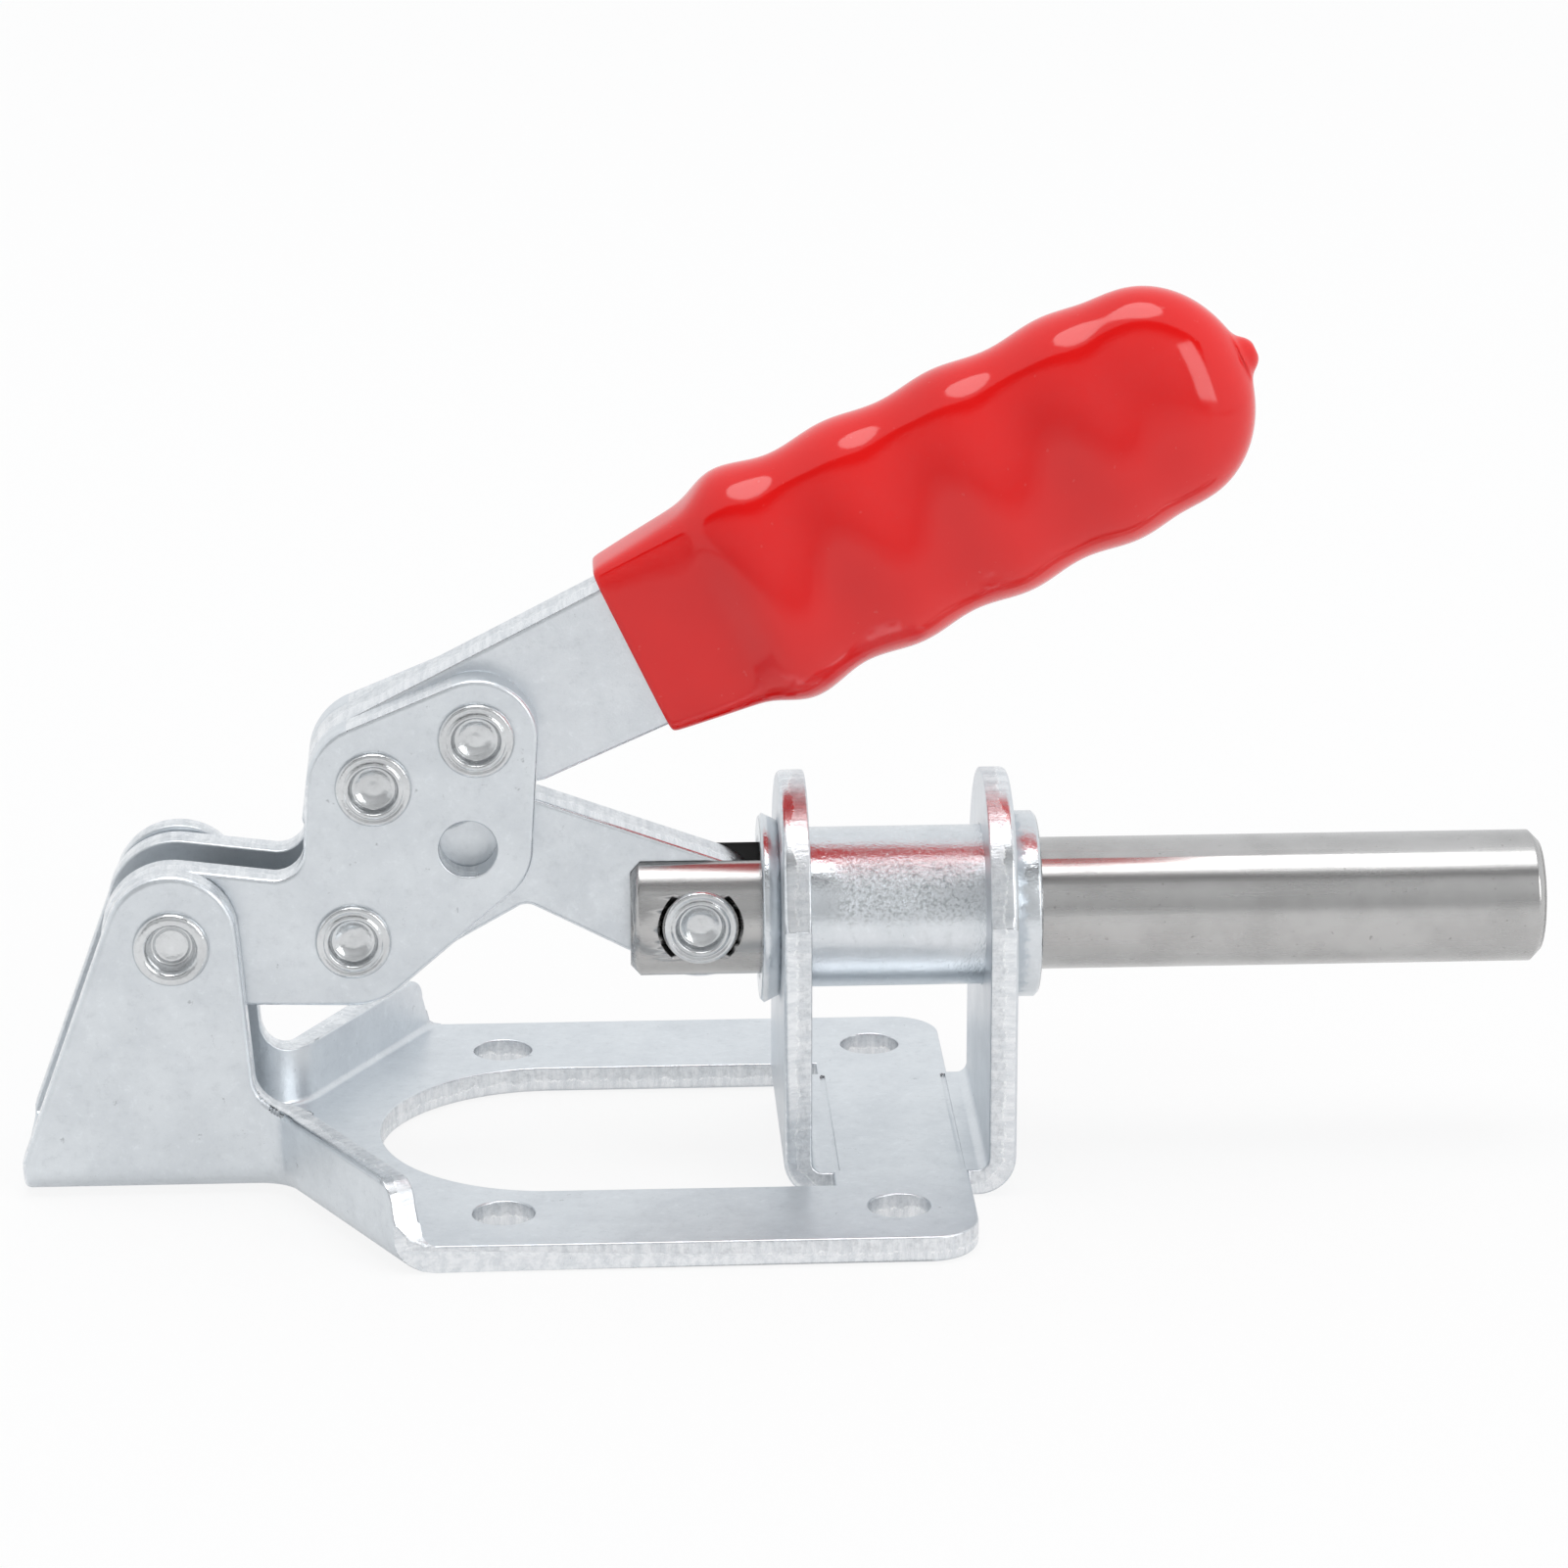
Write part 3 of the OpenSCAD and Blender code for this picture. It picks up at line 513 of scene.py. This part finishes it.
in_slot = ground.band(abs(ground.along(1)), (slot_half + 0.02) * MM, (slot_half + 0.08) * MM, 1.0, 0.0)
# Painted shade: the walls inside the slot, up to just past its end, are painted near black.
painted_slot_shade = in_slot * ground.band(ground.along(0), slot_end - MM, slot_end, 1.0, 0.0)
steel = ground.blend(ground.band(haze, 0.35, 0.7), steel_pale, steel_deep)
steel = ground.blend(ground.band(specks, 0.66, 0.78, 0.0, 0.5), steel, speck_grey)
steel = ground.blend(painted_slot_shade, steel, slot_shade_black)
polish = 0.26 + (lines - 0.5) * 0.16 + (haze - 0.5) * 0.1
ground_steel = metal(ground, steel, polish, lines * 0.8 + specks * 0.3, 0.006 * MM)
dressed("plunger", "plunger", "ground_plunger", [ground_steel], edge=None)

# Thread in the plunger's tip: the ridges that a tap leaves, standing just inside the drilled hole.
# They start behind the countersink, and the first turn fades in.
thread_pitch, thread_turns, turn_steps = 1.25 * MM, 14, 36
hole_r, ridge, ridge_foot = 3.4 * MM, 0.34 * MM, 0.05 * MM
countersink = 0.7 * MM
fade_starts, hidden_below = 0.5, -0.2
seam_gap = 0.004 * MM
ridge_breaks = math.radians(40)
start_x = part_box("plunger")[1][0] - countersink
axis_z = sum(corner[2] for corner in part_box("guide_sleeve")) / 2
tooth = [(start_x, hole_r + ridge_foot), (start_x - 0.45 * thread_pitch, hole_r - ridge),
         (start_x - 0.55 * thread_pitch, hole_r - ridge), (start_x - thread_pitch, hole_r + ridge_foot)]
bm = bmesh.new()
corners = [bm.verts.new((x, 0.0, axis_z + r)) for x, r in tooth]
edges = [bm.edges.new(pair) for pair in zip(corners, corners[1:])]
bmesh.ops.spin(bm, geom=corners + edges, cent=(0.0, 0.0, axis_z), axis=(1.0, 0.0, 0.0),
               dvec=(-thread_pitch / turn_steps, 0.0, 0.0), angle=2 * math.pi * thread_turns,
               steps=thread_turns * turn_steps, use_merge=False)
bmesh.ops.remove_doubles(bm, verts=bm.verts, dist=seam_gap)
bmesh.ops.recalc_face_normals(bm, faces=bm.faces)
for vert in bm.verts:
    turns_in = (start_x - vert.co.x) / thread_pitch
    ridge_here = ridge * min(1.0, max(hidden_below, turns_in - fade_starts))
    out = math.hypot(vert.co.y, vert.co.z - axis_z)
    grow = max(1.0, (hole_r - ridge_here) / out)
    vert.co.y, vert.co.z = vert.co.y * grow, axis_z + (vert.co.z - axis_z) * grow
for face in bm.faces:
    face.smooth = True
thread = made("tapped_thread", bm, [ground_steel])
thread.data.set_sharp_from_angle(angle=ridge_breaks)
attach(thread, "plunger")

# Link: a thick V-shaped blank of plated steel, punched from the near side and notched to clear the
# rear pivot. It hangs on its rivet in the handle and runs in the plunger's slot.
link_sheet = 5.0 * MM
link_zinc = zinc("zinc_link", (0.75, 0.785, 0.815), (0.65, 0.685, 0.72))
dressed("link", "link", "v_link", [link_zinc, torn_zinc], thick=link_sheet,
        towards=(0.0, -1.0, 0.0), roll=0.45 * MM)

# Side plates: two punched blanks of plated steel that hold the bar between them, with a spare hole
# through both. They are turned so that the rolled edges of both look outwards.
plate_sheet = 3.2 * MM
plate_zinc = zinc("zinc_plate", (0.76, 0.795, 0.825), (0.67, 0.705, 0.74))
for side, outwards in (("near", -1.0), ("far", 1.0)):
    dressed("side_plate_" + side, "handle", side + "_plate", [plate_zinc, torn_zinc],
            thick=plate_sheet, towards=(0.0, outwards, 0.0), roll=0.45 * MM)

# Handle bar: a flat bar of plated steel, punched to its outline and riveted between the plates.
# It widens a little towards its far end, inside the grip.
bar_sheet = 5.2 * MM
bar_zinc = zinc("zinc_bar", (0.77, 0.80, 0.83), (0.68, 0.715, 0.75))
dressed("handle_bar", "handle", "flat_bar", [bar_zinc, torn_zinc], thick=bar_sheet,
        towards=(0.0, -1.0, 0.0), roll=0.5 * MM)

# Grip: soft red vinyl that the warm bar was dipped in. It swells in four waves for the fingers,
# has a flat-sided neck with a rolled mouth, and ends in a dome with a drip.
bar_angle = math.radians(25.5)
upper_lo, upper_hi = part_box("bar_rivet_upper")
bar_at = Vector(((upper_lo[0] + upper_hi[0]) / 2, 0.0, (upper_lo[2] + upper_hi[2]) / 2))
along_bar = Matrix.Translation(bar_at) @ Matrix.Rotation(-bar_angle, 4, "Y")
bar_half_tall, bar_half_wide = 7.0, 2.6
bar_widens = 1.4 / 66.0
grip_start, grip_len, grip_rise = 15.6, 60.2, 0.2
neck_len, swell_len, dome_len = 8.0, 5.0, 8.75
mouth_half, body_half = (8.38, 3.9), (10.35, 7.0)
mouth_squareness, body_squareness = 5.5, 2.2
wave_pitch, wave_count = 10.6, 4
wave_high, first_wave_extra = 0.57, 0.4
side_wave, first_side_extra = 1.8, 0.3
side_middle, side_droop, egg_share = 0.62, 0.24, 0.09
drip_r, drip_len = 1.62, 1.25
grip_sides = 48
ring_gap = 1.3
dome_angles = (0, 12, 24, 36, 47, 57, 66, 73)


def ease(t):
    t = min(1.0, max(0.0, t))
    return t * t * (3 - 2 * t)


def oval(u, tall, wide, squareness, bulge=0.0, egg=0.0):
    """Points of one cross section of the grip, `u` from its mouth.

    A squareness of 2 makes an ellipse, and more squares it off. The sides are fullest below their
    middle.
    """
    points = []
    for k in range(grip_sides):
        c, s = (f(2 * math.pi * k / grip_sides) for f in (math.cos, math.sin))
        reach = wide * (1 - egg * s) + bulge * (side_middle - side_droop * s)
        y = math.copysign(abs(c) ** (2 / squareness), c) * reach
        z = math.copysign(abs(s) ** (2 / squareness), s) * tall
        points.append(along_bar @ (Vector((grip_start + u, y, grip_rise + z)) * MM))
    return points


def grip_section(u):
    neck = (min(1.0, u / neck_len) + ease((u - neck_len) / swell_len)) / 2
    wave = (u - neck_len) / wave_pitch
    crest = math.sin(math.pi * wave) ** 2 if 0 <= wave <= wave_count else 0.0
    swell = crest * (wave_high + (first_wave_extra if wave < 1 else 0.0))
    bulge = crest * (side_wave + (first_side_extra if wave < 1 else 0.0))
    past = (u - grip_len + dome_len) / dome_len
    dome = 1.0 if past <= 0 else math.sqrt(max(0.0, 1 - past * past))
    tall, wide, squareness = (m + (b - m) * neck for m, b in zip(
        (*mouth_half, mouth_squareness), (*body_half, body_squareness)))
    return oval(u, (tall + swell * neck) * dome, wide * dome, squareness, bulge * dome, egg_share * neck)


# The rings run from inside the mouth, on the bar, round its lip and on to the tip of the drip.
bar_tall = bar_half_tall + 0.05 + bar_widens * grip_start
bar_wide = bar_half_wide + 0.05
mouth_tall, mouth_wide = mouth_half
rings = [oval(5.0, bar_tall, bar_wide, 9.0),
         oval(0.4, bar_tall, bar_wide, 9.0),
         oval(0.1, bar_tall + 0.2, bar_wide + 0.2, 8.0),
         oval(0.0, mouth_tall - 0.45, mouth_wide - 0.45, 6.5),
         oval(0.08, mouth_tall - 0.12, mouth_wide - 0.12, 6.0)]
dome_start = grip_len - dome_len
stations = [0.45] + [ring_gap * k for k in range(1, int(dome_start / ring_gap))]
stations += [dome_start + dome_len * math.sin(math.radians(a)) for a in dome_angles]
rings += [grip_section(u) for u in stations]
for past_tip, share in ((-0.22, 1.5), (0.1, 1.12), (0.55 * drip_len, 0.88), (0.93 * drip_len, 0.5)):
    rings.append(oval(grip_len + past_tip, drip_r * share, drip_r * share, 2.0))

bm = bmesh.new()
loop = list(bmesh.ops.create_circle(bm, cap_ends=False, segments=grip_sides, radius=MM)["verts"])
for vert, at in zip(loop, rings[0]):
    vert.co = at
for ring in rings[1:]:
    edges = [bm.edges.get((loop[k - 1], loop[k])) for k in range(grip_sides)]
    grown = bmesh.ops.extrude_edge_only(bm, edges=edges)["geom"]
    fresh = {v for v in grown if isinstance(v, bmesh.types.BMVert)}
    loop = [next(e.other_vert(v) for e in v.link_edges if e.other_vert(v) in fresh) for v in loop]
    for vert, at in zip(loop, ring):
        vert.co = at
tip = bmesh.ops.contextual_create(bm, geom=loop)["faces"]
bmesh.ops.poke(bm, faces=tip)
bmesh.ops.recalc_face_normals(bm, faces=bm.faces)
for face in bm.faces:
    face.smooth = True

red, deep_red, dust_pink = (0.79, 0.0115, 0.0105), (0.72, 0.0085, 0.0085), (0.85, 0.25, 0.22)
vinyl = Recipe(bpy.data.materials.new("red_vinyl"))
at = vinyl.place()
runs = vinyl.noise(at, 60.0, 2.0, 0.5)
dust = vinyl.noise(at, 1400.0, 1.0, 0.5)
colour = vinyl.blend(vinyl.band(runs, 0.35, 0.7), red, deep_red)
colour = vinyl.blend(vinyl.band(dust, 0.74, 0.80, 0.0, 0.12), colour, dust_pink)
gloss = 0.10 + (runs - 0.5) * 0.05 + vinyl.band(dust, 0.70, 0.80, 0.0, 0.1)
dips = vinyl.add("ShaderNodeBump", {}, Strength=1.0, Distance=0.15 * MM, Height=runs * 0.7 + dust * 0.02)
red_vinyl = vinyl.finish(vinyl.add("ShaderNodeBsdfPrincipled", {}, Base_Color=colour, Roughness=gloss,
                                   Normal=dips, Specular_IOR_Level=0.5))
grip = made("dipped_grip", bm, [red_vinyl])
rounding = grip.modifiers.new("rounding", "SUBSURF")
rounding.levels = rounding.render_levels = 2
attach(grip, "handle")
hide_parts("handle_grip")
